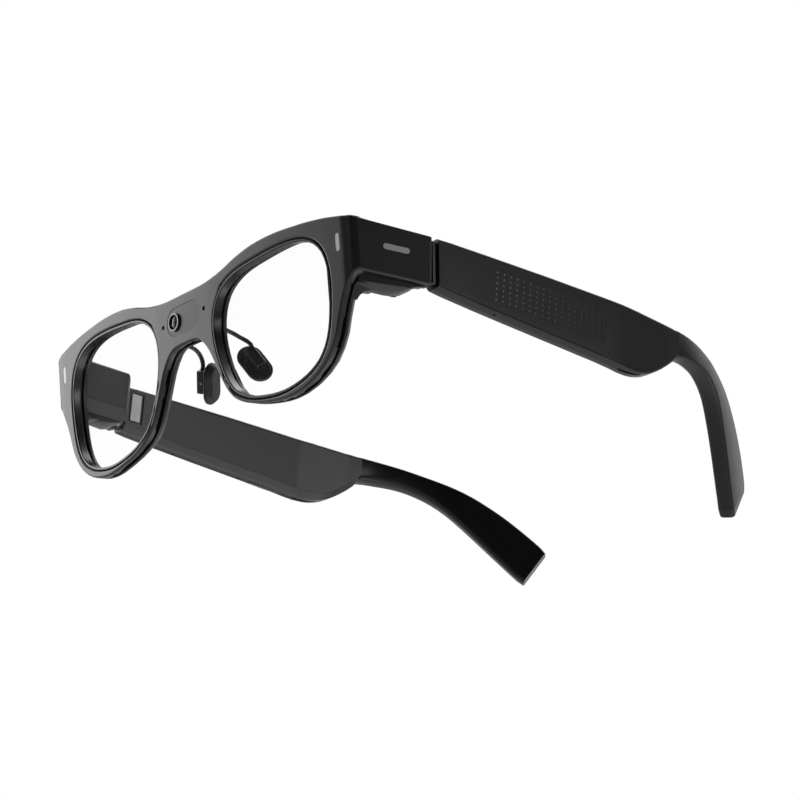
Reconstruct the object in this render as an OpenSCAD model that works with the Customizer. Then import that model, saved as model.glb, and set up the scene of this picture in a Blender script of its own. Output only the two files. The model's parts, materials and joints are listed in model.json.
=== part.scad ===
// Smart glasses: a hinged assembly of named pieces.
// Working frame while modelling: X to the wearer's left, Y backwards, Z up,
// millimetres, temple tops level. placed() turns the whole pair to stand on a
// table on its rims and temple tips, with the origin at the bounding box's
// bottom centre. Names end in _l for the wearer's left (+X) and _r for the right.

/* [Front] */
// Half width of the front at the end-piece corner, mm
half_w = 70; // [66:0.5:76]
// Forward lean of the front, degrees
front_tilt = 10.5; // [4:0.5:14]
// Radius of the front's wrap, mm
wrap_r = 640; // [300:10:1500]
// Thickness of the front skin, mm
skin_t = 1.6; // [1.2:0.1:2.4]
// Depth of the dark seam layer behind the skin, mm
seam_t = 0.8; // [0.4:0.1:1.5]
// Total depth of a rim, mm
rim_depth = 4.8; // [4.4:0.1:6]
// Width of the glossy ring inside each rim, mm
bezel_w = 0.9; // [0.5:0.1:2]
// Gap between rim and glossy ring, mm
bezel_gap = 0.15; // [0.05:0.05:0.4]

/* [Lenses] */
// Lens thickness, mm
lens_t = 1.2; // [0.8:0.1:2.5]
// How far a lens edge sits inside the rim, mm
lens_seat = 0.8; // [0.3:0.1:1.2]

/* [Bridge camera] */
// Length of the camera window, mm
window_len = 15.4; // [10:0.2:18]
// Height of the camera window, mm
window_h = 7.6; // [5:0.2:9]
// Camera lens centre to the wearer's right of the middle, mm
camera_x = 4.1; // [2:0.1:6]
// Outer radius of the camera ring, mm
ring_r = 2.45; // [1.5:0.05:3.2]
// Distance of each bridge microphone from the middle, mm
mic_x = 9.6; // [8.5:0.1:11]

/* [Hinges] */
// Hinge axis, distance from the middle, mm
hinge_x = 69.6; // [66:0.1:72]
// Hinge axis, distance behind the bridge, mm
hinge_y = 24; // [20:0.1:28]
// Hinge pin radius, mm
pin_r = 0.75; // [0.5:0.05:1.2]
// Knuckle radius, mm
knuckle_r = 1.5; // [1.2:0.05:2]
// Radial running clearance on the pin, mm
pin_clear = 0.05; // [0.02:0.01:0.1]

/* [Temples] */
// Temple thickness, mm
temple_t = 6; // [4:0.1:8]
// Temple centre line, distance from the middle, mm
temple_x = 72.4; // [70:0.1:76]
// Wall thickness of the temple shells, mm
wall = 1.2; // [0.8:0.1:2]
// Width of the chamfer along the lower inner edge, mm
inner_bevel = 1.5; // [0.5:0.1:3]

/* [Touch pad] */
// Dimple columns
dimple_cols = 17; // [5:1:20]
// Dimple rows
dimple_rows = 6; // [2:1:7]
// Dimple column pitch, mm
dimple_py = 2.1; // [1.5:0.05:3]
// Dimple row pitch, mm
dimple_pz = 1.45; // [1.2:0.05:2]

/* [Button] */
// Button travel, mm
button_travel = 0.4; // [0.2:0.05:0.6]
// Button length, mm
button_len = 10.6; // [6:0.1:14]
// Button width, mm
button_w = 1.6; // [1.4:0.1:1.7]

/* [Nose pads] */
// Pad length, mm
pad_len = 11.4; // [10:0.1:14]
// Pad width, mm
pad_w = 6.8; // [5.5:0.1:8]
// Pad thickness, mm
pad_t = 2.4; // [1.5:0.1:3]
// Opening of the pads towards the back, degrees
pad_splay = 33; // [15:1:45]
// Lean of the pads, degrees
pad_flare = 13; // [5:1:25]
// Turn of each pad in its own plane, degrees
pad_roll = 38; // [20:1:50]

/* [Resting pose] */
// Turn that brings rims and tips level, degrees
stand_tilt = 1.954; // [0:0.001:6]
// Lift to the table, mm
stand_lift = 31.294; // [0:0.001:60]
// Shift forward to the middle of the depth, mm
stand_back = 77.236; // [0:0.001:120]

/* [Shown piece] */
// Node to draw, or all

/* [Hidden] */
$fn = 48;
h = temple_t / 2;
split = 0.1;
front_y = 25.3;
end_y = 23.6;
slant = 0.096;
tip_y = 105.5;
seam_d = skin_t + seam_t;
lens_d = seam_d + 0.1;
step_d = lens_d + lens_t + 0.1;
mic_r = 1.3;
screw_r = 0.6;

// Half outline of the front, from the top of the bridge round to its underside
front_half = [[0, 6.6], [8, 6.65], [13, 7.15], [18, 8.1], [22.5, 9.4], [27, 10.4],
    [31, 11.05], [35.5, 11.4], [40, 11.5], [44, 11.4], [48, 11.15], [52, 10.9],
    [56, 10.5], [60, 10], [64, 9.3], [67, 8.75], [69, 8.35], [half_w + 0.1, 7.2],
    [half_w + 0.3, 4], [half_w + 0.3, -3], [half_w + 0.1, -5.2], [68.5, -6.5],
    [66.8, -8.4], [64.8, -12], [63.2, -16], [61.9, -19.8], [59.9, -23.2],
    [57.2, -26.2], [53.9, -28.5], [50, -30.2], [46, -31.2], [42, -31.6],
    [38.5, -31.5], [34.5, -31], [30.5, -30.3], [26.5, -29.3], [22.6, -27.9],
    [19.4, -26], [17, -23.4], [15.1, -20.4], [13.5, -17.3], [12, -14.4],
    [10.6, -11.9], [9, -9.8], [7.2, -8.1], [5.2, -7.2], [3, -6.9], [0, -6.85]];
// Lens opening, wearer's left
opening = [[60.6, -10.5], [60.8, -6.3], [60.3, -2], [58.7, 2.1], [55.7, 5.2],
    [51.8, 7], [47.7, 7.75], [43.9, 7.95], [40.5, 7.9], [37.3, 7.75], [34.2, 7.5],
    [31, 7.2], [27.4, 6.85], [23.4, 6.2], [19.2, 4.8], [15.5, 2.3], [13.2, -1.6],
    [12.45, -6], [12.9, -10.5], [14.1, -14.7], [15.6, -18.5], [17.7, -22.1],
    [20.3, -25], [23.6, -27], [27.1, -28.4], [30.6, -29.2], [34, -29.7],
    [37.3, -30], [40.7, -30], [44.1, -29.6], [47.8, -28.8], [51.4, -27.5],
    [54.9, -25.4], [57.5, -22.4], [59.2, -18.7], [60.1, -14.7]];
// Temple stations: distance back, centre line, height of the upper and lower edge
temple_rows = [[front_y, temple_x, 7.2, -5.4], [30, temple_x, 7.45, -5.8],
    [35, temple_x, 7.5, -6.15], [40, temple_x, 7.6, -6.5], [50, temple_x, 7.7, -7.1],
    [60, temple_x, 7.8, -7.65], [70, temple_x, 7.8, -8.2],
    [80, temple_x, 7.75, -8.75], [84, temple_x, 7.7, -9.1], [87, 72.2, 7.65, -9.35],
    [90, 71.9, 7.6, -9.3], [92, 71.7, 7.5, -9.05], [94, 71.5, 7.45, -8.55],
    [96, 71.3, 7.35, -7.8], [98, 71.1, 7.3, -6.7], [100, 70.9, 7.2, -5.35],
    [102, 70.65, 7.15, -3.8], [104, 70.35, 7.05, -2.05], [tip_y, 70.15, 7, 0]];
// Tip stations: distance back, centre line and height of the upper edge, then
// the same of the lower edge
tip_knots = [[tip_y, 70.15, 7, tip_y, 70.15, 0], [109, 69.35, 6.8, 109, 69.6, 0.55],
    [113, 68, 6.4, 112, 68.85, 0.65], [117, 66.3, 5.8, 115, 67.7, 0.6],
    [121, 64.45, 5, 118, 66.45, 0.35], [125, 62.25, 3.9, 121, 64.9, -0.4],
    [129, 59.9, 2.7, 124, 63.15, -1.6], [133, 57.4, 1.2, 127, 61.2, -3.3],
    [137, 54.75, -0.8, 130.5, 58.6, -6.1], [141, 52.1, -3.35, 134.5, 55.6, -10.1],
    [145, 49.3, -6.3, 138.5, 52.55, -14.5], [149, 46.4, -9.8, 142.5, 49.4, -19],
    [152.5, 43.7, -13.2, 146.2, 46.5, -23.1]];
// Start and end of the cap that closes a tip
cap_rows = [[153.9, 42.55, -14.75, 147.9, 45.15, -24.95],
    [155.2, 41.5, -16.1, 149.3, 44.05, -26.4]];

// Catmull-Rom point between p1 and p2
function cr(p0, p1, p2, p3, t) =
    0.5 * (2 * p1 + (p2 - p0) * t + (2 * p0 - 5 * p1 + 4 * p2 - p3) * t * t
    + (3 * p1 - p0 - 3 * p2 + p3) * t * t * t);
function closed(p, n) = [for (i = [0 : len(p) - 1]) for (k = [0 : n - 1])
    cr(p[(i + len(p) - 1) % len(p)], p[i], p[(i + 1) % len(p)],
        p[(i + 2) % len(p)], k / n)];
function mirrored(p) = [for (i = [len(p) - 2 : -1 : 1]) [-p[i][0], p[i][1]]];
// Height measured along the leaning face, allowing for the wrap
function face_point(p) = [p[0],
    p[1] - sin(front_tilt) * p[0] * p[0] / (2 * wrap_r)];
function on_face(p) = [for (q = p) face_point(q)];
front_loop = closed(on_face(concat(front_half, mirrored(front_half))), 2);
opening_loop = closed(on_face(opening), 2);
// Front of the plan at depth d: the wrapped face, the corner and the cheek
function wrap_y(x, d) = wrap_r - sqrt((wrap_r - d) * (wrap_r - d) - x * x);
cheek_a = 15.5;
corner_r = 2.4;
corner_c = [half_w - corner_r * cos(cheek_a) + 0.1, wrap_y(67, 0) + corner_r + 0.5];
function corner(d) = [for (a = [-84 : 11 : -cheek_a + 1])
    [corner_c[0] + (corner_r - d) * cos(a), corner_c[1] + (corner_r - d) * sin(a)]];
function cheek_x(y, d) = corner_c[0] + (corner_r - d) / cos(cheek_a)
    + (y - corner_c[1]) * tan(cheek_a);
// Where the wrapped face meets the cheek once the rounding has run out
function meet_x(d, n) = n == 0 ? 66 : cheek_x(wrap_y(meet_x(d, n - 1), d), d);
function half_plan(d) = d < corner_r - 0.3
    ? concat([for (x = [0 : 6 : 66]) [x, wrap_y(x, d)]], corner(d),
        [[cheek_x(30, d), 30]])
    : let(x = meet_x(d, 5)) concat([for (x = [0 : 6 : 60]) [x, wrap_y(x, d)]],
        [[x, wrap_y(x, d)], [cheek_x(30, d), 30]]);
function half_both(d) = concat(
    [for (i = [len(half_plan(d)) - 1 : -1 : 1])
        [-half_plan(d)[i][0], half_plan(d)[i][1]]], half_plan(d));

module placed() {
    translate([0, -stand_back, stand_lift])
        rotate([-stand_tilt, 0, 0]) children();
}
// Children drawn in the leaning front's own frame
module lean() {
    rotate([front_tilt, 0, 0]) children();
}
// A flat shape in X and Z pushed through the front's depth, from y0 to y1
module through(y0, y1) {
    translate([0, y1, 0]) rotate([90, 0, 0]) linear_extrude(y1 - y0) children();
}
// Plan region behind depth d, as a tall prism
module plan_solid(d) {
    translate([0, 0, -50]) linear_extrude(80) polygon(half_both(d));
}
// A layer of the front between two depths; children give its outline
module layer(d0, d1, y1 = 16) {
    intersection() {
        difference() {
            plan_solid(d0);
            plan_solid(d1);
        }
        through(-3, y1) children();
    }
}
module outline(inset) {
    offset(delta = -inset) polygon(front_loop);
}
module opening_shape(grow) {
    offset(delta = grow) polygon(opening_loop);
}
module both() {
    children();
    mirror([1, 0]) children();
}
module pill(len, w) {
    hull() {
        translate([-(len - w) / 2, 0]) circle(r = w / 2);
        translate([(len - w) / 2, 0]) circle(r = w / 2);
    }
}
function unit(v) = v / norm(v);
// Direction of a path at point i
function heading(p, i) = unit(p[min(i + 1, len(p) - 1)] - p[max(i - 1, 0)]);
function round_ring(c, d, r) = let(u = unit(cross(d, [1, 0, 0])), v = cross(d, u))
    [for (a = [0 : 22.5 : 350]) c + r * cos(a) * u - r * sin(a) * v];
// Round wire along a path
module wire(p, r) {
    loft([for (i = [0 : len(p) - 1]) round_ring(p[i], heading(p, i), r)]);
}
// Closed skin through a list of equal rings
module loft(rings) {
    n = len(rings[0]);
    m = len(rings);
    pts = [for (r = rings) for (p = r) p];
    sides = [for (i = [0 : m - 2]) for (k = [0 : n - 1]) each
        [[i * n + k, i * n + (k + 1) % n, (i + 1) * n + (k + 1) % n],
        [i * n + k, (i + 1) * n + (k + 1) % n, (i + 1) * n + k]]];
    ends = [[for (k = [n - 1 : -1 : 0]) k], [for (k = [0 : n - 1]) (m - 1) * n + k]];
    polyhedron(points = pts, faces = concat(sides, ends));
}

// ---- Front ----
// Side view of an end piece, from the corner back to the hinge
module end_side(x0, x1) {
    rotate([-front_tilt, 0, 0])
        translate([x0, 0, 0]) rotate([90, 0, 90]) linear_extrude(x1 - x0)
            polygon([[-4, 8.45], [2, 8.2], [end_y, 7.2], [end_y + 12.6 * slant, -5.4],
                [3, -5.2], [-4, -5.2]]);
}
// Wedge that levels the top of the front near each end, in the level frame
module top_level() {
    rotate([-front_tilt, 0, 0]) translate([0, -6, 0]) rotate([-90, 0, 0])
        linear_extrude(22) polygon([[54, -12.2], [60, -10.5], [64, -9.42],
            [67, -8.87], [69.3, -8.5], [82, -8.5], [82, -20], [54, -20]]);
}
// Closed band of three-cornered sections along the outline, for the rear chamfer
function edge_way(i) = unit(front_loop[(i + 1) % len(front_loop)]
    - front_loop[(i + len(front_loop) - 1) % len(front_loop)]);
function edge_out(i) = [-edge_way(i)[1], edge_way(i)[0]];
function edge_pt(i, o, d) = let(q = front_loop[i] + o * edge_out(i))
    [q[0], wrap_y(q[0], d), q[1]];
module rear_chamfer() {
    m = floor(len(front_loop) / 2);
    pts = [for (j = [0 : m - 1]) each [edge_pt(2 * j, 0.9, rim_depth - 2.8),
        edge_pt(2 * j, 0.9, rim_depth + 0.8), edge_pt(2 * j, -1.8, rim_depth + 0.8)]];
    polyhedron(points = pts, faces = [for (j = [0 : m - 1]) for (k = [0 : 2])
        let(a = 3 * j + k, b = 3 * j + (k + 1) % 3,
            c = 3 * ((j + 1) % m) + (k + 1) % 3, e = 3 * ((j + 1) % m) + k)
        each [[a, b, c], [a, c, e]]]);
}
// Hole straight back through the front at x, v
module bore_at(x, v, r, y0, y1) {
    translate([x, y0, v]) rotate([-90, 0, 0]) cylinder(r = r, h = y1 - y0);
}
module front_shell() {
    placed() color([0.1, 0.1, 0.11]) lean() difference() {
        intersection() {
            difference() {
                plan_solid(0);
                plan_solid(skin_t);
            }
            union() {
                through(-3, 7) outline(0);
                end_side(67.5, 82);
                end_side(-82, -67.5);
            }
        }
        both() top_level();
        through(-3, 12) both() opening_shape(0);
        through(-3, 3) pill(window_len, window_h);
        bore_at(mic_x, 0, 0.55, -2, 3);
        bore_at(-mic_x, 0, 0.55, -2, 3);
        layer_cut(0.5) both() inlay_shape(0.02);
        mark_block(0.52, 0.02);
    }
}
// Shallow pocket from the face down to depth d
module layer_cut(d) {
    difference() {
        through(-3, 8) children();
        plan_solid(d);
    }
}
module inlay_shape(g) {
    translate([64.4, 1.9]) rotate(90) pill(4.6 + 2 * g, 1.4 + 2 * g);
}
// Rounded bar on the wearer's left end piece
module mark_block(t, g) {
    translate([cheek_x(15, 0), 15, -0.8])
        rotate([0, 0, 90 - cheek_a]) rotate([90, 0, 0]) rotate([0, 0, -front_tilt])
            translate([0, 0, -t]) linear_extrude(t + (g > 0 ? 1 : 0))
                pill(7 + 2 * g, 1.5 + 2 * g);
}
module rim_core() {
    placed() color([0.03, 0.03, 0.03]) lean() difference() {
        layer(skin_t, seam_d, 8.4) intersection() {
            outline(0.45);
            translate([-68.3, -60]) square([136.6, 90]);
        }
        both() top_level();
        through(-3, 12) both() opening_shape(0);
        through(-3, 12) pill(window_len - 1.2, window_h - 1.2);
        bore_at(mic_x, 0, mic_r + 0.02, -2, 9);
        bore_at(-mic_x, 0, mic_r + 0.02, -2, 9);
    }
}
// Solid of one end block behind the cheek, wearer's left, level frame
module end_block(x0, x1) {
    intersection() {
        translate([0, 5, 0]) rotate([-90, 0, 0]) linear_extrude(21)
            polygon([[x0, -7], [x0 + 1.2, -7.9], [80, -7.9], [80, 5.3], [73.6, 6.1],
                [72, 6.7], [66.5, 8], [64.6, 8], [x0, 3.4]]);
        translate([x0 - 1, 0, 0]) rotate([90, 0, 90]) linear_extrude(x1 - x0 + 1)
            polygon([[3, 8.12], [end_y, 7.12], [end_y + 12.6 * slant, -5.35],
                [22.2, -5.9], [20.3, -6.7], [17.6, -7.3], [13, -7.8], [3, -7.95]]);
    }
}
// Curved web between the rim's rear edge and the underside of the end block
module end_web() {
    intersection() {
        translate([0, 8, 0]) rotate([-90, 0, 0]) linear_extrude(8)
            polygon([[63.25, 7], [63.25, 12], [64, 12], [64.8, 10.4], [66.4, 7.6],
                [66.8, 7]]);
        translate([60, 0, 0]) rotate([90, 0, 90]) linear_extrude(10)
            polygon([[8, -7.2], [8, -11], [10, -10.7], [10.3, -9.6], [11, -8.7],
                [12.4, -8], [14, -7.7], [14, -7.2]]);
    }
}
module end_hollow() {
    translate([62, 9.4, -4.4]) cube([9.2, 6.8, 9.6]);
}
module rear_frame() {
    placed() color([0.08, 0.08, 0.085]) difference() {
        union() {
            lean() difference() {
                layer(seam_d, rim_depth, 8.4) outline(0);
                rear_chamfer();
                both() top_level();
                through(-3, 22) both() opening_shape(0);
                layer(seam_d - 0.1, step_d) both() opening_shape(lens_seat + 0.03);
            }
            end_bodies();
            pad_root();
            mirror([1, 0, 0]) pad_root();
        }
        lean() {
            through(0, 3.9) pill(window_len - 1.2, window_h - 1.2);
            bore_at(mic_x, 0, mic_r + 0.02, 0, 3.6);
            bore_at(-mic_x, 0, mic_r + 0.02, 0, 3.6);
        }
    }
}
module end_bodies() {
    end_body();
    mirror([1, 0, 0]) end_body();
}
module end_body() {
    difference() {
        union() {
            intersection() {
                end_block(63.2, 80);
                lean() plan_solid(skin_t + 0.01);
            }
            end_web();
        }
        lean() difference() {
            translate([40, -6, -40]) cube([28.4, 20, 60]);
            plan_solid(seam_d);
        }
        end_hollow();
        // pocket of the hinge leaf and room for its knuckles
        translate([68.18, 17.98, -4.42]) cube([2.84, 6, 8.84]);
        translate([62, 22.6, -12]) cube([9.4, 3, 24]);
        translate([hinge_x, hinge_y, -12]) cylinder(r = knuckle_r + 0.3, h = 24);
        translate([hinge_x, 15, 0]) rotate([-90, 0, 0]) cylinder(r = screw_r + 0.02, h = 8);
    }
}
module bezel(s) {
    placed() color([0.05, 0.05, 0.06]) lean() mirror([s < 0 ? 1 : 0, 0, 0])
        layer(0.1, seam_d) difference() {
            opening_shape(-bezel_gap);
            opening_shape(-bezel_w);
        }
}
module bezel_l() {
    bezel(1);
}
module bezel_r() {
    bezel(-1);
}
module lens(s) {
    placed() color([0.75, 0.8, 0.85, 0.35]) lean() mirror([s < 0 ? 1 : 0, 0, 0])
        layer(lens_d, lens_d + lens_t) opening_shape(lens_seat);
}
module lens_l() {
    lens(1);
}
module lens_r() {
    lens(-1);
}
module camera_window() {
    placed() color([0.06, 0.06, 0.07]) lean() difference() {
        layer(0.08, skin_t) offset(delta = -0.08) pill(window_len, window_h);
        bore_at(-camera_x, 0, ring_r + 0.02, -3, 6);
        bore_at(camera_x, 0, 1.72, -3, 6);
    }
}
module camera_ring() {
    placed() color([0.03, 0.03, 0.03]) lean() difference() {
        bore_at(-camera_x, 0, ring_r, -0.45, 1.58);
        bore_at(-camera_x, 0, ring_r - 0.5, -2, 3);
    }
}
module camera_lens() {
    placed() color([0.5, 0.6, 0.7, 0.5]) lean() intersection() {
        bore_at(-camera_x, 0, ring_r - 0.52, -0.6, 1.5);
        translate([-camera_x, 4.4, 0]) sphere(r = 4.7, $fn = 64);
    }
}
module camera_barrel() {
    placed() color([0.12, 0.12, 0.13]) lean() union() {
        bore_at(-camera_x, 0, 2.2, 1.62, 2.8);
        bore_at(-camera_x, 0, 2.7, 2.75, 3.15);
    }
}
module sensor_lens() {
    placed() color([0.1, 0.1, 0.13]) lean() intersection() {
        bore_at(camera_x, 0, 1.7, -1, 1.5);
        plan_solid(0.08);
    }
}
module bridge_mics() {
    placed() color([0.35, 0.3, 0.2]) lean() for (x = [-mic_x, mic_x])
        bore_at(x, 0, mic_r, skin_t + 0.15, 3.5);
}
module bridge_board() {
    placed() color([0.05, 0.2, 0.12]) lean()
        through(3.18, 3.78) pill(window_len - 1.8, window_h - 1.8);
}
module corner_inlays() {
    placed() color([0.7, 0.7, 0.72]) lean() difference() {
        layer(0.03, 0.48) both() inlay_shape(0);
        translate([-1, -9, -9]) cube([2, 2, 2]);
    }
}
module end_mark() {
    placed() color([0.7, 0.7, 0.72]) lean() mark_block(0.48, 0);
}

// ---- Light engines in the end blocks ----
module side(s) {
    mirror([s < 0 ? 1 : 0, 0, 0]) children();
}
// Rounded rear corners of a cover, seen from above and from the side
module cover_plan() {
    translate([0, 0, -20]) linear_extrude(40) polygon(concat([[63.18, 4], [60.6, 4]],
        [for (a = [0 : 15 : 90]) [62.8 - 2.2 * cos(a), 20.3 + 2.2 * sin(a)]],
        [[63.18, 22.5]]));
}
module cover_side() {
    translate([60, 0, 0]) rotate([90, 0, 90]) linear_extrude(4)
        polygon(concat([[3, -9], [3, 9]],
            [for (a = [90 : -15 : 0]) [19.7 + 2.8 * cos(a), 4.6 + 2.8 * sin(a)]],
            [[22.5, -9]]));
}
module engine_cover(s) {
    placed() color([0.09, 0.09, 0.095]) side(s) difference() {
        intersection() {
            end_block(60.6, 63.18);
            lean() plan_solid(rim_depth + 0.02);
            cover_plan();
            cover_side();
        }
        translate([61.8, 10.4, -3]) cube([3, 5.8, 8.2]);
    }
}
module engine_cover_l() {
    engine_cover(1);
}
module engine_cover_r() {
    engine_cover(-1);
}
module light_engine(s) {
    placed() color([0.2, 0.2, 0.22]) side(s) union() {
        translate([63.4, 10.6, -2.8]) cube([6.2, 5.2, 6.6]);
        translate([64, 13.2, 0.5]) rotate([0, -90, 0]) cylinder(r = 2.1, h = 2.1);
    }
}
module light_engine_l() {
    light_engine(1);
}
module light_engine_r() {
    light_engine(-1);
}
module hinge_screws() {
    placed() color([0.5, 0.5, 0.52]) for (s = [-1, 1]) side(s)
        translate([hinge_x, 0, 0]) rotate([-90, 0, 0]) {
            translate([0, 0, 16.4]) cylinder(r = screw_r, h = 5.2);
            translate([0, 0, 21.4]) difference() {
                cylinder(r = 1.1, h = 0.8);
                translate([0, 0, 0.4]) cylinder(r = 0.5, h = 1, $fn = 6);
            }
        }
}

// ---- Hinges ----
module hinge_front(s) {
    placed() color([0.16, 0.16, 0.17]) side(s) difference() {
        union() {
            translate([68.2, 18, -4.4]) cube([2.8, 4.3, 8.8]);
            for (z = [-4.4, 1.5]) {
                translate([hinge_x - 1, 20, z]) cube([2, 4, 2.9]);
                translate([hinge_x, hinge_y, z]) cylinder(r = knuckle_r, h = 2.9);
            }
        }
        translate([hinge_x, hinge_y, -8]) cylinder(r = pin_r + 0.02, h = 16);
        translate([hinge_x, 12, 0]) rotate([-90, 0, 0]) cylinder(r = screw_r + 0.02, h = 11);
        translate([hinge_x, 21.38, 0]) rotate([-90, 0, 0]) cylinder(r = 1.12, h = 3);
    }
}
module hinge_front_l() {
    hinge_front(1);
}
module hinge_front_r() {
    hinge_front(-1);
}
module hinge_pin(s) {
    placed() color([0.45, 0.45, 0.47]) side(s)
        translate([hinge_x, hinge_y, 0]) difference() {
            union() {
                translate([0, 0, -4.9]) cylinder(r = pin_r, h = 9.4);
                translate([0, 0, 4.42]) cylinder(r = 1.2, h = 0.8);
            }
            translate([0, 0, 4.9]) translate([-2, -0.15, 0]) cube([4, 0.3, 1]);
        }
}
module hinge_pin_l() {
    hinge_pin(1);
}
module hinge_pin_r() {
    hinge_pin(-1);
}
module hinge_rear(s) {
    placed() color([0.16, 0.16, 0.17]) side(s) difference() {
        union() {
            translate([hinge_x, hinge_y, -1.4]) cylinder(r = knuckle_r, h = 2.8);
            translate([hinge_x, hinge_y, -1.4]) cube([1.5, 2.15, 2.8]);
            translate([70.6, 25.2, -1.4]) cube([1.9, 2.3, 2.8]);
            translate([70.6, 27, -3.8]) cube([1.9, 6, 7.6]);
            // shield that closes the gap behind the end piece
            translate([71, 24.6, -1.4]) cube([1.2, 0.6, 2.8]);
            translate([71.7, 0, 0]) rotate([90, 0, 90]) linear_extrude(2.8)
                polygon([[24.06, 6.4], [25.27, 6.4], [26.3, -4.6], [25.12, -4.6]]);
        }
        translate([hinge_x, hinge_y, -8]) cylinder(r = pin_r + pin_clear, h = 16);
    }
}
module hinge_rear_l() {
    hinge_rear(1);
}
module hinge_rear_r() {
    hinge_rear(-1);
}

// ---- Nose pads ----
pad_c = [9.95, 16.86, -10.75];
pivot_x = 2.8;
pad_pin_r = 0.35;
// Local frame of a pad: X across its thickness away from the nose, Z up it
module pad_frame() {
    translate(pad_c) rotate([0, 0, -pad_splay]) rotate([0, -pad_flare, 0])
        rotate([pad_roll, 0, 0]) children();
}
// Foot of the arm on the back of the rim
module pad_root() {
    translate([8.6, 4.6, -3.2]) rotate([-90, 0, 0]) cylinder(r = 1.3, h = 1.9);
}
module pivot_bore(r) {
    translate([pivot_x, 0, 0]) rotate([90, 0, 0])
        cylinder(r = r, h = 6, center = true);
}
arm_knots = [[8.6, 6.58, -3.2], [8.4, 8.3, -3.25], [8.6, 10.2, -3.6],
    [9.3, 12, -4.4], [10.5, 13.6, -5.4], [11.4, 14.4, -6.6], [11.3, 14, -7.8]];
function smooth(p, n) = let(e = len(p) - 1)
    concat([for (i = [0 : e - 1]) for (k = [0 : n - 1])
        cr(p[max(i - 1, 0)], p[i], p[i + 1], p[min(i + 2, e)], k / n)], [p[e]]);
module nose_arm(s) {
    placed() color([0.12, 0.12, 0.13]) side(s) union() {
        wire(smooth(arm_knots, 2), 0.6);
        pad_frame() difference() {
            translate([2.2, -1.35, -2.9]) cube([1.8, 2.7, 6.2]);
            translate([2.1, -0.85, -3]) cube([1.45, 1.7, 4.5]);
            pivot_bore(pad_pin_r + 0.02);
        }
    }
}
module nose_arm_l() {
    nose_arm(1);
}
module nose_arm_r() {
    nose_arm(-1);
}
module pad_pin(s) {
    placed() color([0.6, 0.6, 0.62]) side(s) pad_frame()
        translate([pivot_x, 0, 0]) rotate([90, 0, 0])
            cylinder(r = pad_pin_r, h = 2.7, center = true);
}
module pad_pin_l() {
    pad_pin(1);
}
module pad_pin_r() {
    pad_pin(-1);
}
module pad_core(s) {
    placed() color([0.2, 0.2, 0.2]) side(s) pad_frame() difference() {
        union() {
            translate([0.5, 0, 0]) rotate([0, 90, 0]) cylinder(r = 2, h = 0.6);
            translate([1, -0.75, -0.55]) cube([pivot_x - 1, 1.5, 1.1]);
            translate([pivot_x, 0, 0]) rotate([90, 0, 0])
                cylinder(r = 0.66, h = 1.5, center = true);
        }
        pivot_bore(pad_pin_r + 0.06);
    }
}
module pad_core_l() {
    pad_core(1);
}
module pad_core_r() {
    pad_core(-1);
}
module nose_pad(s) {
    placed() color([0.07, 0.07, 0.07]) side(s) pad_frame() difference() {
        hull() for (z = [-1, 1]) {
            translate([0, 0, z * (pad_len - pad_w) / 2])
                rotate([0, 90, 0]) cylinder(r = pad_w / 2, h = 0.9, $fn = 32);
            translate([-pad_t / 2, 0, z * (pad_len - pad_w) / 2])
                rotate([0, 90, 0]) cylinder(r = pad_w / 2 - 1.1, h = pad_t, $fn = 32);
        }
        translate([0.48, 0, 0]) rotate([0, 90, 0]) cylinder(r = 2.02, h = 2);
    }
}
module nose_pad_l() {
    nose_pad(1);
}
module nose_pad_r() {
    nose_pad(-1);
}

// ---- Temples ----
// Quarter arc of radius r round [x, z], starting at angle a
function arc(x, z, r, a) = [for (k = [0 : 3]) [x + r * cos(a + 30 * k),
    z + r * sin(a + 30 * k)]];
function taper(r) = min(1, (r[2] - r[3]) / 9);
// The front face of a temple leans back with the hinge gap
function placed_ring(r, p) = [for (q = p)
    [q[0], r[0] + (r[0] > front_y ? 0 : slant * (r[2] - q[1])), q[1]]];
function outer_ring(r) = let(a = 0.9 * taper(r)) placed_ring(r, concat(
    [[r[1] + split, r[2]], [r[1] + split, r[3]]],
    arc(r[1] + h - a, r[3] + a, a, -90), arc(r[1] + h - a, r[2] - a, a, 0)));
function inner_ring(r) = let(a = 0.9 * taper(r), b = inner_bevel * taper(r))
    placed_ring(r, concat([[r[1] + split, r[3]], [r[1] + split, r[2]]],
    arc(r[1] - h + a, r[2] - a, a, 90),
    [[r[1] - h, r[3] + 1.2 * b], [r[1] - h + b, r[3]]]));
module cavity() {
    translate([temple_x - h + wall, 35, -4.9]) cube([temple_t - 2 * wall, 49, 11.2]);
}
module speaker_room() {
    translate([70.2, 84.6, -6.4]) cube([3.1, 8.9, 12.2]);
}
// One microphone in the left temple's lower edge, two in the right one
function mic_ys(s) = s > 0 ? [45.2] : [45.2, 67.6];
// Microphone holes and the speaker slot in the lower edge
module low_holes(s) {
    for (y = mic_ys(s))
        translate([73.5, y, -14]) cylinder(r = 0.38, h = 10);
    translate([72.3, 86, -14]) cube([0.9, 7.2, 8]);
}
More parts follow.
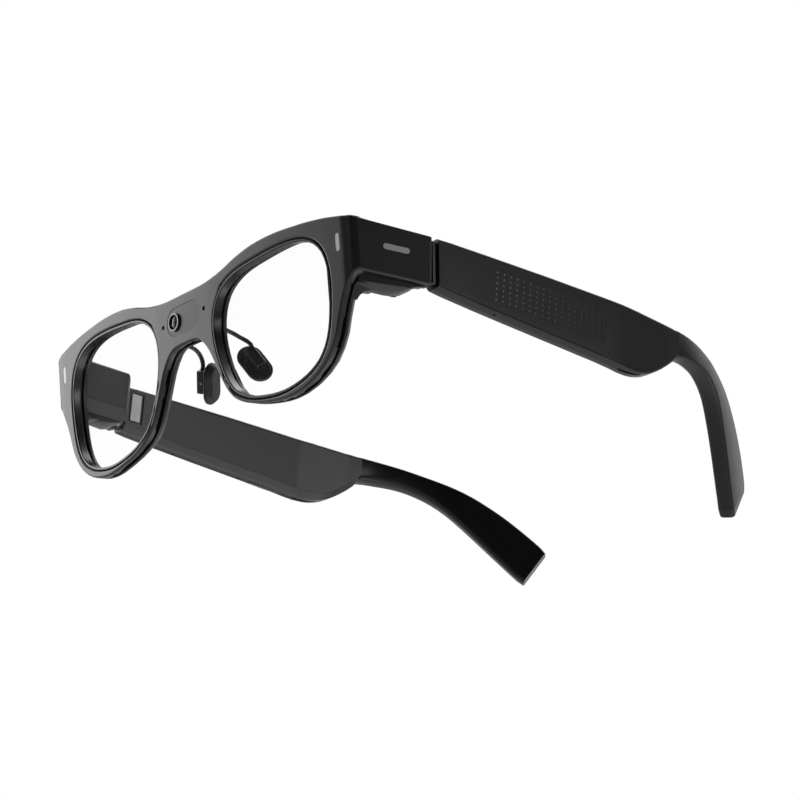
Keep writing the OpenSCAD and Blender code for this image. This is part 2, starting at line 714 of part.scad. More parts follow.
// The button's own frame, square to the sloping lower edge
module button_frame() {
    translate([73.7, 76.6, -8.43]) rotate([-2.86, 0, 0]) children();
}
module button_hole() {
    button_frame() {
        translate([0, 0, -3]) linear_extrude(8)
            rotate(90) pill(button_len + 0.3, button_w + 0.2);
        translate([0, 0, 1.8]) linear_extrude(4)
            rotate(90) pill(button_len + 1.7, button_w + 0.2);
    }
}
module touch_room() {
    translate([temple_x + h - 0.9, 42.4, -4.5]) cube([2, 37, 9.3]);
}
module temple_outer(s) {
    placed() color([0.07, 0.07, 0.075]) side(s) difference() {
        loft([for (r = temple_rows) outer_ring(r)]);
        cavity();
        speaker_room();
        low_holes(s);
        if (s > 0) touch_room();
        if (s < 0) button_hole();
    }
}
module temple_outer_l() {
    temple_outer(1);
}
module temple_outer_r() {
    temple_outer(-1);
}
module temple_inner(s) {
    placed() color([0.07, 0.07, 0.075]) side(s) difference() {
        loft([for (r = temple_rows) inner_ring(r)]);
        cavity();
        speaker_room();
        low_holes(s);
        // knuckle room and the pocket of the hinge leaf
        translate([68, 20, -5.8]) cube([3.6, 6.2, 11.8]);
        translate([70.58, 26, -3.82]) cube([2.2, 7.02, 7.64]);
        translate([70.5, 24, -1.42]) cube([2.1, 4, 2.84]);
        if (s < 0) translate([68, 27.2, -2.9]) cube([1.85, 4.4, 9]);
    }
}
module temple_inner_l() {
    temple_inner(1);
}
module temple_inner_r() {
    temple_inner(-1);
}
module battery(s) {
    placed() color([0.5, 0.5, 0.52]) side(s)
        translate([70.9, 36, -3.6]) cube([3, 26, 9.4]);
}
module battery_l() {
    battery(1);
}
module battery_r() {
    battery(-1);
}
module board(s) {
    placed() color([0.05, 0.25, 0.15]) side(s) union() {
        translate([70.8, 63, -2.2]) cube([0.8, 20, 7.8]);
        translate([71.6, 66, 0]) cube([1, 6, 4]);
        translate([71.6, 75, 0.5]) cube([0.9, 4, 3]);
    }
}
module board_l() {
    board(1);
}
module board_r() {
    board(-1);
}
module speaker(s) {
    placed() color([0.15, 0.15, 0.16]) side(s) union() {
        translate([70.4, 85.4, -5]) cube([2.7, 7.2, 9.8]);
        translate([72.35, 86.2, -6]) cube([0.75, 5.8, 1.1]);
    }
}
module speaker_l() {
    speaker(1);
}
module speaker_r() {
    speaker(-1);
}
module speaker_grille(s) {
    placed() color([0.02, 0.02, 0.02]) side(s) difference() {
        translate([72.33, 86.03, -7.6]) cube([0.84, 7.14, 0.4]);
        for (y = [86.9 : 1.1 : 92.5]) translate([72.75, y, -9])
            cylinder(r = 0.25, h = 3, $fn = 16);
    }
}
module speaker_grille_l() {
    speaker_grille(1);
}
module speaker_grille_r() {
    speaker_grille(-1);
}
module temple_mics(s) {
    placed() color([0.35, 0.3, 0.2]) side(s)
        for (y = mic_ys(s))
            translate([73.5, y, -4.88]) difference() {
                cylinder(r = 0.62, h = 1);
                translate([0, 0, -0.1]) cylinder(r = 0.2, h = 0.5, $fn = 16);
            }
}
module temple_mics_l() {
    temple_mics(1);
}
module temple_mics_r() {
    temple_mics(-1);
}
module touch_pad() {
    placed() color([0.07, 0.07, 0.075]) difference() {
        translate([temple_x + h - 0.88, 42.42, -4.48]) cube([0.86, 36.96, 9.26]);
        for (c = [0 : dimple_cols - 1]) for (r = [0 : dimple_rows - 1])
            translate([temple_x + h - 0.2,
                61 + (c - (dimple_cols - 1) / 2) * dimple_py,
                0.15 + (r - (dimple_rows - 1) / 2) * dimple_pz])
                rotate([0, 90, 0]) cylinder(r = 0.34, h = 1, $fn = 6);
    }
}
module label_plate() {
    placed() color([0.85, 0.85, 0.83]) side(-1)
        translate([69.52, 27.7, -2.5]) cube([0.3, 3.4, 8.2]);
}
module button() {
    placed() color([0.25, 0.25, 0.26]) side(-1) button_frame() difference() {
        union() {
            translate([0, 0, -0.25]) linear_extrude(3)
                rotate(90) pill(button_len, button_w);
            translate([0, 0, 1.9]) linear_extrude(0.85)
                rotate(90) pill(button_len + 1.2, button_w);
        }
        for (k = [-4 : 4]) translate([-2, k - 0.12, -0.4]) cube([4, 0.24, 0.3]);
    }
}
module button_switch() {
    placed() color([0.6, 0.6, 0.6]) side(-1) button_frame()
        translate([-0.5, -1.6, 2.8 + button_travel]) cube([1, 3.2, 1]);
}

// ---- Temple tips ----
tip_rows = smooth(tip_knots, 2);
tip_last = len(tip_rows) - 1;
function upper(r) = [r[1], r[0], r[2]];
function lower(r) = [r[4], r[3], r[5]];
// Sideways direction of the blade at row i
function side_way(rows, i) = let(e = len(rows) - 1, a = rows[max(i - 1, 0)],
    b = rows[min(i + 1, e)]) i == 0 && rows == tip_rows ? [1, 0, 0]
    : unit([b[0] + b[3] - a[0] - a[3], a[1] + a[4] - b[1] - b[4], 0]);
function arc3(c, r, u, v) = [for (t = [0 : 30 : 90]) c + r * (cos(t) * u + sin(t) * v)];
// Ring across the blade: sideways direction n, half thickness a, corner radius c,
// inner lower corner radius b, inset g
function blade_ring(row, n, a, c, b, g) = let(t = upper(row), w = lower(row),
    u = unit(w - t), p = t + u * g, q = w - u * g)
    concat(arc3(p - n * (a - c) + u * c, c, -u, -n),
        arc3(q - n * (a - b) - u * b, b, -n, u),
        arc3(q + n * (a - c) - u * c, c, u, n),
        arc3(p + n * (a - c) + u * c, c, n, -u));
function tip_half(i) = h - 0.7 * i / tip_last;
module tip_body() {
    loft([for (i = [0 : tip_last])
        blade_ring(tip_rows[i], side_way(tip_rows, i), tip_half(i), 0.7, 1.5, 0),
        blade_ring(cap_rows[0], side_way(cap_rows, 0), tip_half(tip_last), 0.7, 1.5,
            0)]);
}
module core(g) {
    loft([for (i = [0 : 2 : tip_last - 2]) blade_ring(tip_rows[i],
        side_way(tip_rows, i), 0.55 + g, 0.1, 0.1, 2 - g)]);
}
module temple_tip(s) {
    placed() color([0.1, 0.1, 0.105]) side(s) difference() {
        tip_body();
        core(0.03);
    }
}
module temple_tip_l() {
    temple_tip(1);
}
module temple_tip_r() {
    temple_tip(-1);
}
module tip_cap(s) {
    placed() color([0.08, 0.08, 0.085]) side(s)
        loft([for (i = [0, 1]) blade_ring(cap_rows[i], side_way(cap_rows, 0),
            tip_half(tip_last) - 0.15 * i, 0.7 + 0.2 * i, 1.5, 0.25 * i)]);
}
module tip_cap_l() {
    tip_cap(1);
}
module tip_cap_r() {
    tip_cap(-1);
}
module core_wire(s) {
    placed() color([0.6, 0.6, 0.62]) side(s) core(0);
}
module core_wire_l() {
    core_wire(1);
}
module core_wire_r() {
    core_wire(-1);
}

front_shell();
rim_core();
rear_frame();
bezel_l();
bezel_r();
lens_l();
lens_r();
camera_window();
camera_ring();
camera_lens();
camera_barrel();
sensor_lens();
bridge_mics();
bridge_board();
corner_inlays();
end_mark();
engine_cover_l();
engine_cover_r();
light_engine_l();
light_engine_r();
hinge_screws();
hinge_front_l();
hinge_front_r();
hinge_pin_l();
hinge_pin_r();
nose_arm_l();
nose_arm_r();
pad_pin_l();
pad_pin_r();
pad_core_l();
pad_core_r();
nose_pad_l();
nose_pad_r();
temple_outer_l();
temple_outer_r();
temple_inner_l();
temple_inner_r();
hinge_rear_l();
hinge_rear_r();
battery_l();
battery_r();
board_l();
board_r();
speaker_l();
speaker_r();
speaker_grille_l();
speaker_grille_r();
temple_mics_l();
temple_mics_r();
temple_tip_l();
temple_tip_r();
tip_cap_l();
tip_cap_r();
core_wire_l();
core_wire_r();
touch_pad();
label_plate();
button();
button_switch();
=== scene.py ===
"""Smart glasses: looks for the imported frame, with camera, light and materials."""
import math

import bmesh
import bpy
from mathutils import Matrix, Vector
from mathutils.bvhtree import BVHTree
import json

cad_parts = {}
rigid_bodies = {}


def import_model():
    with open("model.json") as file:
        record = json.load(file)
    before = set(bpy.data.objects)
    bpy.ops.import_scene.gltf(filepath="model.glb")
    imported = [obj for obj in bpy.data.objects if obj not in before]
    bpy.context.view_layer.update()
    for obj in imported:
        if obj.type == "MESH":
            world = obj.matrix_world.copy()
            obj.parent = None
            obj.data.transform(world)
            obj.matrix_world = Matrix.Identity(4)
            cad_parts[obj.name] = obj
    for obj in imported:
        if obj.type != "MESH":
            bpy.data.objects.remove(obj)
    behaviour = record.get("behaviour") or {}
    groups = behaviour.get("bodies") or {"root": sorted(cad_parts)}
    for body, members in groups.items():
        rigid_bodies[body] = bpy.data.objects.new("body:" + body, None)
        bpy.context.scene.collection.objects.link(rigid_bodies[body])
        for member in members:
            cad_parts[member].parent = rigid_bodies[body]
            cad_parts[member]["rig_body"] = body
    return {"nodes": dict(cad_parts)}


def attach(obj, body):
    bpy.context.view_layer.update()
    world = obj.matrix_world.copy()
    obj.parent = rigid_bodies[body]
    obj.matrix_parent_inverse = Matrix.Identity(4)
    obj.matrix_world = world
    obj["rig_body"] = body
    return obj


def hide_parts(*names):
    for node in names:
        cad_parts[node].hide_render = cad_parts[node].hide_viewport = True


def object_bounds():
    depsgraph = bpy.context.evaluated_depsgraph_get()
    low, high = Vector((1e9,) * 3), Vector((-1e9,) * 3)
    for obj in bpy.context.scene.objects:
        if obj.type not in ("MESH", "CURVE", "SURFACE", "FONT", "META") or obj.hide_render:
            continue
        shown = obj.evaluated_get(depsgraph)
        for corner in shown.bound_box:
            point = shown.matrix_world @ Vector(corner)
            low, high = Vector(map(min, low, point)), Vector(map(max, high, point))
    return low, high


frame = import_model()
cad_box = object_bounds()

MM = 0.001
SCENE = bpy.context.scene

# Camera, as seen from its aim: compass angle, height and roll in degrees, distance
# in metres, how far the aim is off the box's centre, and the lens in mm
CAMERA_AZIMUTH = 54.35
CAMERA_ELEVATION = -19.63
CAMERA_ROLL = 2.508
CAMERA_DISTANCE = 0.88
CAMERA_AIM = Vector((7.07, -12.24, 1.40)) * MM
CAMERA_LENS = 148.5
SENSOR_WIDTH = 36
NEAR_CLIP = 0.01
# Metres: how far the floor is under the pair, and its radius
FLOOR_DROP = 0.75
FLOOR_RADIUS = 6.0

# Filling of the front's seam groove: how far its wall moves out, the clear distance
# that makes a wall an outer one, the reach of the test for the skin before it, the
# start of both tests off the wall, and the most that a side wall may face forward
GROOVE_FILL = 0.33 * MM
OPEN_AIR = 6 * MM
SKIN_REACH = 1.2 * MM
SKIP = 0.01 * MM
SIDE_FACING = 0.5
FORWARD = Vector((0, -1, 0))

# Corners nearer than WELD are joined, and faces within FLAT degrees made one
WELD = 0.002 * MM
FLAT = 0.25

# Convex edges over HARD degrees are rounded, and a corner that leaves the old surface
# by more than OVERSHOOT of the radius goes back to it; SMOOTH degrees for shading
HARD = 30
OVERSHOOT = 0.35
SMOOTH = 34
LONG_SEGMENTS = 4
FINE_SEGMENTS = 2

# Edges nearer than CONTACT to another piece stay sharp, and so do those of a face
# that lies on one, tested FACE_REACH in from the edge; edges in a run of pieces
# shorter than SHORT_EDGE belong to a small hole and get FINE_SHARE of the rounding
CONTACT = 0.1 * MM
FACE_REACH = 0.7 * MM
SHORT_EDGE = 0.3 * MM
FINE_SHARE = 0.2
# Nodes of many small facets, which plain smooth shading suits best
CURVED = ("rear_frame", "rim_core", "temple_tip_l", "temple_tip_r")

# Touch pad: its plain margin, and how deep under its face the dimples get their painted
# highlight
DIMPLE_MARGIN = 0.5 * MM
DIMPLE_DEPTHS = (0.02 * MM, 0.4 * MM)
# Label: the width of its dark border, and the least that a large face turns to x
BORDER = 0.22 * MM
LARGE_FACING = 0.9
# Nose pads: size of the remesh, then strength and rounds of the smoothing
PAD_VOXEL = 0.17 * MM
MELT_FACTOR = 0.5
MELT_ROUNDS = 14
# Share by which a plastic's tone wanders either way
CLOUDINESS = 0.18


# ---- Meshes ----
def new_object(name, mesh):
    obj = bpy.data.objects.new(name, mesh)
    SCENE.collection.objects.link(obj)
    return obj


def smooth_by_angle(mesh):
    for name in ("custom_normal", "sharp_face"):
        if name in mesh.attributes:
            mesh.attributes.remove(mesh.attributes[name])
    mesh.polygons.foreach_set("use_smooth", [True] * len(mesh.polygons))
    mesh.set_sharp_from_angle(angle=math.radians(SMOOTH))


def cad_bmesh(node):
    """The node's mesh with its split corners welded and its flats made whole."""
    bm = bmesh.new()
    bm.from_mesh(frame["nodes"][node].data)
    bmesh.ops.remove_doubles(bm, verts=bm.verts, dist=WELD)
    bmesh.ops.dissolve_limit(bm, angle_limit=math.radians(FLAT), verts=bm.verts,
                             edges=bm.edges)
    return bm


def surface_tree():
    """Every CAD surface in one search tree, with the owner of each face."""
    points, faces, owners = [], [], []
    for name, obj in frame["nodes"].items():
        start = len(points)
        points += [v.co.copy() for v in obj.data.vertices]
        for face in obj.data.polygons:
            faces.append([start + i for i in face.vertices])
            owners.append(name)
    return BVHTree.FromPolygons(points, faces), owners


SURFACES, OWNERS = surface_tree()


def touches_other(node, point):
    """True where a piece other than the node is within CONTACT of the point."""
    near = SURFACES.find_nearest_range(point, CONTACT)
    return any(OWNERS[index] != node for _, _, index, _ in near)


def against_other(node, edge):
    """True where the edge, or one of its faces beside it, lies on another piece."""
    middle = (edge.verts[0].co + edge.verts[1].co) / 2
    inward = [(f.calc_center_median() - middle).normalized() for f in edge.link_faces]
    spots = [middle] + [middle + way * FACE_REACH for way in inward]
    return any(touches_other(node, spot) for spot in spots)


def free_edges(bm, node):
    """Hard outer edges clear of other pieces: the long runs and the fine ones."""
    limit = math.radians(HARD)
    hard = [e for e in bm.edges if len(e.link_faces) == 2 and e.is_convex
            and e.calc_face_angle(0) > limit]
    is_hard = set(hard)
    long_runs, fine_runs = [], []
    for edge in hard:
        if against_other(node, edge):
            continue
        run = [e for v in edge.verts for e in v.link_edges if e in is_hard]
        is_long = max(e.calc_length() for e in run) > SHORT_EDGE
        (long_runs if is_long else fine_runs).append(edge)
    return long_runs, fine_runs


def round_edges(bm, edges, radius, segments):
    """Rounds edges, and pulls any corner that overshoots back to the old surface."""
    if not edges:
        return
    before = BVHTree.FromBMesh(bm)
    bmesh.ops.bevel(bm, geom=edges, offset=radius, offset_type="OFFSET",
                    segments=segments, profile=0.5, affect="EDGES",
                    clamp_overlap=False)
    for vert in bm.verts:
        place, _, _, gap = before.find_nearest(vert.co)
        if gap > OVERSHOOT * radius:
            vert.co = place


def body_of_node(node):
    return frame["nodes"][node]["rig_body"]


def refined(node, mats, width, shape=None, finish=None):
    """A copy of a CAD node, with edges rounded by width mm, which replaces it."""
    bm = cad_bmesh(node)
    if shape:
        shape(bm)
    if width > 0:
        long_runs, fine_runs = free_edges(bm, node)
        fine = set(fine_runs)
        radius = width * MM
        round_edges(bm, long_runs, radius, LONG_SEGMENTS)
        left = [e for e in bm.edges if e in fine]
        round_edges(bm, left, FINE_SHARE * radius, FINE_SEGMENTS)
    mesh = bpy.data.meshes.new(node + "_skin")
    bm.to_mesh(mesh)
    bm.free()
    smooth_by_angle(mesh)
    obj = new_object(node + "_skin", mesh)
    for mat in mats:
        mesh.materials.append(mat)
    if finish:
        finish(obj)
    elif node not in CURVED:
        even = obj.modifiers.new("even_shading", "WEIGHTED_NORMAL")
        even.keep_sharp = True
    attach(obj, body_of_node(node))
    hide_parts(node)


# ---- Node materials ----
class Nodes:
    """Short names for building one material's node tree."""

    def __init__(self, name):
        self.mat = bpy.data.materials.new(name)
        self.mat.use_nodes = True
        self.tree = self.mat.node_tree
        self.bsdf = self.tree.nodes["Principled BSDF"]
        self.coord = self.tree.nodes.new("ShaderNodeTexCoord").outputs["Object"]

    def add(self, kind, **sockets):
        node = self.tree.nodes.new(kind)
        for key, value in sockets.items():
            node.inputs[key.replace("_", " ")].default_value = value
        return node

    def link(self, a, b):
        self.tree.links.new(a, b)

    def noise(self, scale, detail=3.0, stretch=None):
        node = self.add("ShaderNodeTexNoise", Scale=scale, Detail=detail, Roughness=0.55)
        if stretch:
            mapping = self.add("ShaderNodeMapping", Scale=stretch)
            self.link(self.coord, mapping.inputs["Vector"])
            self.link(mapping.outputs["Vector"], node.inputs["Vector"])
        else:
            self.link(self.coord, node.inputs["Vector"])
        return node.outputs["Fac"]

    def spread(self, value, low, high, start=0.3, end=0.7):
        node = self.add("ShaderNodeMapRange", From_Min=start, From_Max=end,
                        To_Min=low, To_Max=high)
        self.link(value, node.inputs["Value"])
        return node.outputs["Result"]

    def tint(self, value, dark, light):
        """Base colour between two tones, by a value from 0 to 1."""
        node = self.add("ShaderNodeMix")
        node.data_type = "RGBA"
        first, second, result = 6, 7, 2  # The Mix node's sockets for colours
        node.inputs[first].default_value = (*dark, 1)
        node.inputs[second].default_value = (*light, 1)
        self.link(value, node.inputs["Factor"])
        self.link(node.outputs[result], self.bsdf.inputs["Base Color"])

    def bump(self, value, strength, distance):
        node = self.add("ShaderNodeBump", Strength=strength, Distance=distance)
        self.link(value, node.inputs["Height"])
        self.link(node.outputs["Normal"], self.bsdf.inputs["Normal"])

    def rough(self, value):
        self.link(value, self.bsdf.inputs["Roughness"])

    def fixed(self, **sockets):
        for key, value in sockets.items():
            self.bsdf.inputs[key.replace("_", " ")].default_value = value


def plastic(name, grey, rough, grain=0.06, specular=0.5, coat=0.0):
    """Moulded satin plastic: fine grain, faint cloudiness in tone and sheen."""
    n = Nodes(name)
    cloud = n.noise(90.0, 4.0)
    fine = n.noise(5200.0, 2.0)
    dark, light = grey * (1 - CLOUDINESS), grey * (1 + CLOUDINESS)
    n.tint(n.spread(cloud, 0, 1), (dark,) * 3, (light, light, light * 1.02))
    n.rough(n.spread(n.noise(1300.0, 3.0), rough - 0.012, rough + 0.015))
    n.bump(fine, grain, 0.02 * MM)
    n.fixed(Specular_IOR_Level=specular, Coat_Weight=coat, Coat_Roughness=0.08)
    return n.mat


def metal(name, grey, rough, stretch):
    """Brushed or turned metal with fine streaks along one direction."""
    n = Nodes(name)
    streak = n.noise(900.0, 3.0, stretch=stretch)
    n.tint(n.spread(streak, 0, 1), (grey * 0.86,) * 3, (grey * 1.08,) * 3)
    n.rough(n.spread(streak, rough - 0.06, rough + 0.08))
    n.bump(streak, 0.12, 0.01 * MM)
    n.fixed(Metallic=1.0)
    return n.mat


def silicone(name):
    """Soft black rubber with a faint sheen."""
    n = Nodes(name)
    n.tint(n.spread(n.noise(260.0, 4.0), 0, 1), (0.014,) * 3, (0.024, 0.024, 0.025))
    n.rough(n.spread(n.noise(700.0, 3.0), 0.46, 0.6))
    n.bump(n.noise(4200.0, 2.0), 0.12, 0.03 * MM)
    n.fixed(Specular_IOR_Level=0.42, Sheen_Weight=0.05, Sheen_Roughness=0.4)
    return n.mat


def clear_lens(name):
    """A lens so clear that only a trace of its tint and shine is left."""
    n = Nodes(name)
    n.tint(n.spread(n.noise(40.0, 2.0), 0, 1), (0.93, 0.95, 0.97), (0.97, 0.98, 1.0))
    n.rough(n.spread(n.noise(120.0, 2.0), 0.01, 0.03))
    n.fixed(Alpha=0.012, IOR=1.5, Specular_IOR_Level=0.1)
    return n.mat


def dark_glass(name, grey, alpha):
    """Coated dark glass that lets part of what is behind it through."""
    n = Nodes(name)
    n.tint(n.spread(n.noise(700.0, 2.0), 0, 1), (grey * 0.8, grey * 0.85, grey),
           (grey * 1.1, grey * 1.1, grey * 1.25))
    n.rough(n.spread(n.noise(300.0, 2.0), 0.04, 0.07))
    n.fixed(Alpha=alpha, IOR=1.5, Coat_Weight=0.6, Coat_Roughness=0.03)
    return n.mat


def dimple_painted_sheen(name, front_y, rear_y):
    """Satin dimples with a painted highlight: bright at the front of the pad, fading to
    the skin's tone toward the rear.
    """
    n = Nodes(name)
    axes = n.add("ShaderNodeSeparateXYZ")
    n.link(n.coord, axes.inputs[0])
    # Painted highlight: the dimples are pale at the front and fade to dark toward the
    # rear, following how the light falls
    sheen_fade = n.spread(axes.outputs["Y"], 1.0, 0.0, front_y, rear_y)
    n.tint(sheen_fade, (0.02, 0.02, 0.02), (0.3, 0.3, 0.31))
    n.rough(n.spread(n.noise(700.0, 3.0), 0.25, 0.4))
    return n.mat


def circuit(name):
    """Green board with a brick pattern of copper tracks."""
    n = Nodes(name)
    tracks = n.add("ShaderNodeTexBrick", Scale=900.0)
    tracks.inputs["Color1"].default_value = (0.012, 0.06, 0.03, 1)
    tracks.inputs["Color2"].default_value = (0.016, 0.09, 0.045, 1)
    tracks.inputs["Mortar"].default_value = (0.35, 0.27, 0.1, 1)
    n.link(n.coord, tracks.inputs["Vector"])
    n.link(tracks.outputs["Color"], n.bsdf.inputs["Base Color"])
    n.rough(n.spread(tracks.outputs["Fac"], 0.25, 0.5, 0.0, 1.0))
    n.bump(tracks.outputs["Fac"], 0.2, 0.03 * MM)
    return n.mat


def label_film(name):
    """Plain satin film, pale grey."""
    n = Nodes(name)
    n.tint(n.spread(n.noise(300.0, 3.0), 0, 1), (0.68, 0.68, 0.67), (0.82, 0.82, 0.81))
    n.rough(n.spread(n.noise(900.0, 3.0), 0.3, 0.42))
    n.bump(n.noise(2600.0, 2.0), 0.05, 0.02 * MM)
    return n.mat


FRONT = plastic("front_plastic", 0.016, 0.36, specular=0.6)
REAR = plastic("rear_plastic", 0.013, 0.4)
SEAM = plastic("seam_plastic", 0.004, 0.6, specular=0.0)
RING = plastic("ring_plastic", 0.008, 0.3, grain=0.02, specular=0.6)
TEMPLE = plastic("temple_plastic", 0.009, 0.38, specular=0.32)
# Painted light: a lighter, shinier copy of the temple plastic, for the brighter light on
# the temples' inner faces
TEMPLE_INNER_LIT = plastic("temple_inner_lit_plastic", 0.012, 0.36, specular=0.7)
TIP = plastic("tip_plastic", 0.009, 0.34, specular=0.32)
WINDOW = plastic("window_plastic", 0.01, 0.33, grain=0.01, specular=0.45)
GLOSS = plastic("camera_plastic", 0.004, 0.15, grain=0.01, coat=0.5)
DULL = plastic("dull_plastic", 0.01, 0.55, specular=0.3)
# Painted highlight on the dimples, standing in for the light they reflect
DIMPLE_SHEEN = dimple_painted_sheen("dimple_painted_sheen", -36 * MM, 2 * MM)
BUTTON = plastic("button_plastic", 0.06, 0.35)
SOFT = silicone("pad_silicone")
LENS = clear_lens("lens_clear")
CAMERA_GLASS = dark_glass("camera_glass", 0.12, 0.45)
SENSOR_GLASS = plastic("sensor_window", 0.008, 0.28, grain=0.01, specular=0.4)
SILVER = metal("silver_mark", 0.55, 0.55, (1, 1, 18))
STEEL = metal("steel", 0.42, 0.28, (1, 1, 12))
BRASS = metal("contact_metal", 0.45, 0.35, (6, 1, 1))
BLACK_METAL = plastic("black_metal", 0.012, 0.3, grain=0.03, specular=0.7)
FOIL = metal("battery_foil", 0.5, 0.4, (2, 14, 2))
BOARD = circuit("circuit_board")
LABEL = label_film("label_film")


# ---- Shapes ----
def fill_groove(bm):
    """Brings the seam layer's open outer wall nearly flush, so no light shows
    through its groove where the rim is seen edge on."""
    moves = {}
    for face in bm.faces:
        centre, way = face.calc_center_median(), face.normal
        facing = SURFACES.ray_cast(centre + way * SKIP, way, OPEN_AIR)[0]
        raised = centre + way * GROOVE_FILL
        behind_skin = SURFACES.ray_cast(raised, FORWARD, SKIN_REACH)[0]
        if abs(way.y) < SIDE_FACING and facing is None and behind_skin is not None:
            for vert in face.verts:
                moves.setdefault(vert, []).append(way.copy())
    for vert, ways in moves.items():
        vert.co += sum(ways, Vector()).normalized() * GROOVE_FILL


def mark_dimples(bm):
    """Second material, the painted highlight, on the floors and walls of the touch pad's
    dimples.
    """
    face_x = max(v.co.x for v in bm.verts)
    spans = []
    for axis in (1, 2):
        places = [v.co[axis] for v in bm.verts]
        middle = (min(places) + max(places)) / 2
        spans.append((axis, middle, max(places) - middle - DIMPLE_MARGIN))
    least, most = DIMPLE_DEPTHS
    for face in bm.faces:
        c = face.calc_center_median()
        inside = all(abs(c[axis] - middle) < half for axis, middle, half in spans)
        if inside and face_x - most < c.x < face_x - least:
            face.material_index = 1


def mark_border(bm):
    """Dark border round the label, on its two large faces and its edges."""
    large = [f for f in bm.faces if abs(f.normal.x) > LARGE_FACING]
    bmesh.ops.inset_region(bm, faces=large, thickness=BORDER)
    kept = set(large)
    for face in bm.faces:
        face.material_index = 0 if face in kept else 1


def soft_pad(obj):
    """Melts the facets of a nose pad into one soft form."""
    even = obj.modifiers.new("even", "REMESH")
    even.mode = "VOXEL"
    even.voxel_size = PAD_VOXEL
    even.use_smooth_shade = True
    melt = obj.modifiers.new("melt", "SMOOTH")
    melt.factor = MELT_FACTOR
    melt.iterations = MELT_ROUNDS


# ---- Pieces ----
# Node, materials, record slot, edge rounding in mm
PLAIN = [
    ("front_shell", (FRONT,), "front_skin", 0.65),
    ("rim_core", (SEAM,), "seam", 0.0),
    ("rear_frame", (REAR,), "rear_skin", 0.12),
    ("camera_window", (WINDOW,), "window_gloss", 0.0),
    ("camera_ring", (GLOSS,), "camera_black", 0.12),
    ("camera_lens", (CAMERA_GLASS,), "camera_glass", 0.0),
    ("camera_barrel", (DULL,), "barrel", 0.1),
    ("sensor_lens", (SENSOR_GLASS,), "sensor_glass", 0.0),
    ("bridge_mics", (BRASS,), "mic_metal", 0.05),
    ("bridge_board", (BOARD,), "board_green", 0.05),
    ("corner_inlays", (SILVER,), "silver", 0.0),
    ("end_mark", (SILVER,), "silver", 0.0),
    ("hinge_screws", (STEEL,), "steel", 0.1),
    ("touch_pad", (TEMPLE, DIMPLE_SHEEN), "temple_skin", 0.0),
    ("label_plate", (LABEL, DULL), "label", 0.0),
    ("button", (BUTTON,), "button_grey", 0.15),
    ("button_switch", (BRASS,), "mic_metal", 0.1),
]
# The same for nodes that come as a left and a right one
PAIRED = [
    ("bezel", (RING,), "ring_gloss", 0.25),
    ("lens", (LENS,), "lens_clear", 0.1),
    ("engine_cover", (REAR,), "rear_skin", 0.15),
    ("light_engine", (DULL,), "engine", 0.2),
    ("hinge_front", (BLACK_METAL,), "hinge_black", 0.2),
    ("hinge_pin", (STEEL,), "steel", 0.15),
    ("hinge_rear", (BLACK_METAL,), "hinge_black", 0.2),
    ("nose_arm", (BLACK_METAL,), "arm_black", 0.2),
    ("pad_pin", (STEEL,), "steel", 0.06),
    ("pad_core", (DULL,), "pad_clip", 0.1),
    ("nose_pad", (SOFT,), "pad_soft", 0.0),
    ("temple_outer", (TEMPLE,), "temple_skin", 0.15),
    ("temple_inner", (TEMPLE_INNER_LIT,), "temple_skin", 0.15),
    ("battery", (FOIL,), "battery_foil", 0.3),
    ("board", (BOARD,), "board_green", 0.05),
    ("speaker", (DULL,), "speaker_case", 0.3),
    ("speaker_grille", (DULL,), "grille", 0.04),
    ("temple_mics", (BRASS,), "mic_metal", 0.05),
    ("temple_tip", (TIP,), "tip_skin", 0.0),
    ("tip_cap", (TIP,), "tip_skin", 0.0),
    ("core_wire", (STEEL,), "steel", 0.0),
]
SHAPES = {"rim_core": fill_groove, "touch_pad": mark_dimples, "label_plate": mark_border}
FINISHES = {"nose_pad": soft_pad}

for node, mats, slot, width in PLAIN:
    refined(node, mats, width, shape=SHAPES.get(node))
for name, mats, slot, width in PAIRED:
    for side in ("_l", "_r"):
        refined(name + side, mats, width, finish=FINISHES.get(name))


# ---- Camera, floor and light ----
def back_vector(azimuth, elevation):
    """The way from the aim toward the camera."""
    a, e = math.radians(azimuth), math.radians(elevation)
    return Vector((math.sin(a) * math.cos(e), -math.cos(a) * math.cos(e), math.sin(e)))


def add_camera():
    """The camera at the photo's angle; returns the way back toward it."""
    centre = (cad_box[0] + cad_box[1]) / 2
    back = back_vector(CAMERA_AZIMUTH, CAMERA_ELEVATION)
    a, r = math.radians(CAMERA_AZIMUTH), math.radians(CAMERA_ROLL)
    level = Vector((math.cos(a), math.sin(a), 0))
    upright = back.cross(level)
    right = level * math.cos(r) + upright * math.sin(r)
    up = back.cross(right)
    data = bpy.data.cameras.new("camera")
    data.sensor_width = SENSOR_WIDTH
    data.lens = CAMERA_LENS
    data.clip_start = NEAR_CLIP
    cam = new_object("camera", data)
    turn = Matrix((right, up, back)).transposed().to_4x4()
    place = Matrix.Translation(centre + CAMERA_AIM + back * CAMERA_DISTANCE)
    cam.matrix_world = place @ turn
    SCENE.camera = cam
    return back


def add_floor():
    bm = bmesh.new()
    bmesh.ops.create_circle(bm, cap_ends=True, radius=FLOOR_RADIUS,
                            segments=64)
    mesh = bpy.data.meshes.new("floor")
    bm.to_mesh(mesh)
    bm.free()
    floor = new_object("floor", mesh)
    floor.location.z = -FLOOR_DROP
    n = Nodes("floor_paint")
    n.tint(n.spread(n.noise(3.0), 0, 1), (0.78, 0.78, 0.78), (0.82, 0.82, 0.82))
    n.rough(n.spread(n.noise(9.0), 0.8, 0.9))
    mesh.materials.append(n.mat)


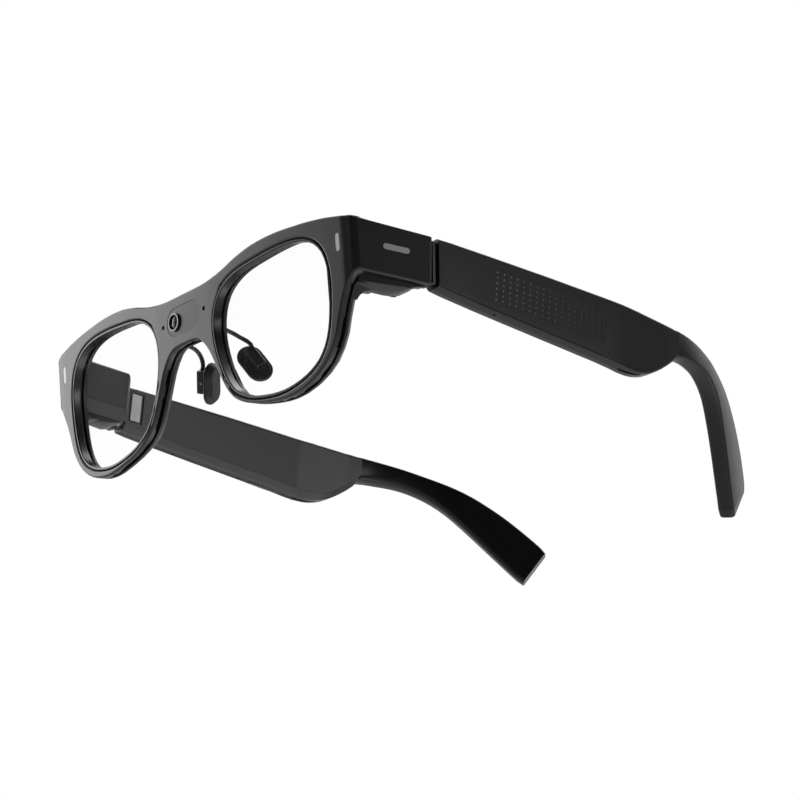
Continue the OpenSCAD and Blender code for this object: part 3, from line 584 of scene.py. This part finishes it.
def add_area(name, place, aim, side, watts):
    data = bpy.data.lights.new(name, "AREA")
    data.shape = "RECTANGLE"
    data.size = data.size_y = side
    data.energy = watts
    light = new_object(name, data)
    light.location = place
    light.rotation_mode = "QUATERNION"
    light.rotation_quaternion = (Vector(aim) - Vector(place)).to_track_quat("-Z", "Y")


def add_world(toward):
    """A white backdrop beyond the object and a dim room on the camera's side."""
    world = bpy.data.worlds.new("studio")
    SCENE.world = world
    world.use_nodes = True
    tree = world.node_tree
    tree.nodes.clear()
    out = tree.nodes.new("ShaderNodeOutputWorld")
    coord = tree.nodes.new("ShaderNodeTexCoord")
    dot = tree.nodes.new("ShaderNodeVectorMath")
    dot.operation = "DOT_PRODUCT"
    dot.inputs[1].default_value = toward
    ramp = tree.nodes.new("ShaderNodeMapRange")
    ramp.interpolation_type = "SMOOTHSTEP"
    for key, value in (("From Min", -0.12), ("From Max", 0.8), ("To Min", 0.02),
                       ("To Max", 1.2)):
        ramp.inputs[key].default_value = value
    lit = tree.nodes.new("ShaderNodeBackground")
    seen = tree.nodes.new("ShaderNodeBackground")
    seen.inputs["Color"].default_value = (1, 1, 1, 1)
    path = tree.nodes.new("ShaderNodeLightPath")
    mix = tree.nodes.new("ShaderNodeMixShader")
    links = tree.links
    links.new(coord.outputs["Generated"], dot.inputs[0])
    links.new(dot.outputs["Value"], ramp.inputs["Value"])
    links.new(ramp.outputs["Result"], lit.inputs["Strength"])
    links.new(path.outputs["Is Camera Ray"], mix.inputs[0])
    links.new(lit.outputs[0], mix.inputs[1])
    links.new(seen.outputs[0], mix.inputs[2])
    links.new(mix.outputs[0], out.inputs["Surface"])


# Area lights: name, place and aim in metres, length of a side in metres, watts
LIGHTS = [
    ("key_left", (-1.1, -0.55, 0.35), (0, -0.03, 0.02), 0.8, 5),
    ("top_back", (-0.3, 0.7, 1.1), (0, 0, 0.02), 1.0, 9),
    ("side_right", (1.26, 0.56, 0.25), (0, 0, 0.02), 0.35, 2.6),
    ("under_back", (0.08, 0.35, -0.62), (0, 0, 0.02), 0.5, 0.9),
]

camera_back = add_camera()
add_floor()
add_world(-camera_back)
for light_row in LIGHTS:
    add_area(*light_row)
SCENE.view_settings.view_transform = "Standard"
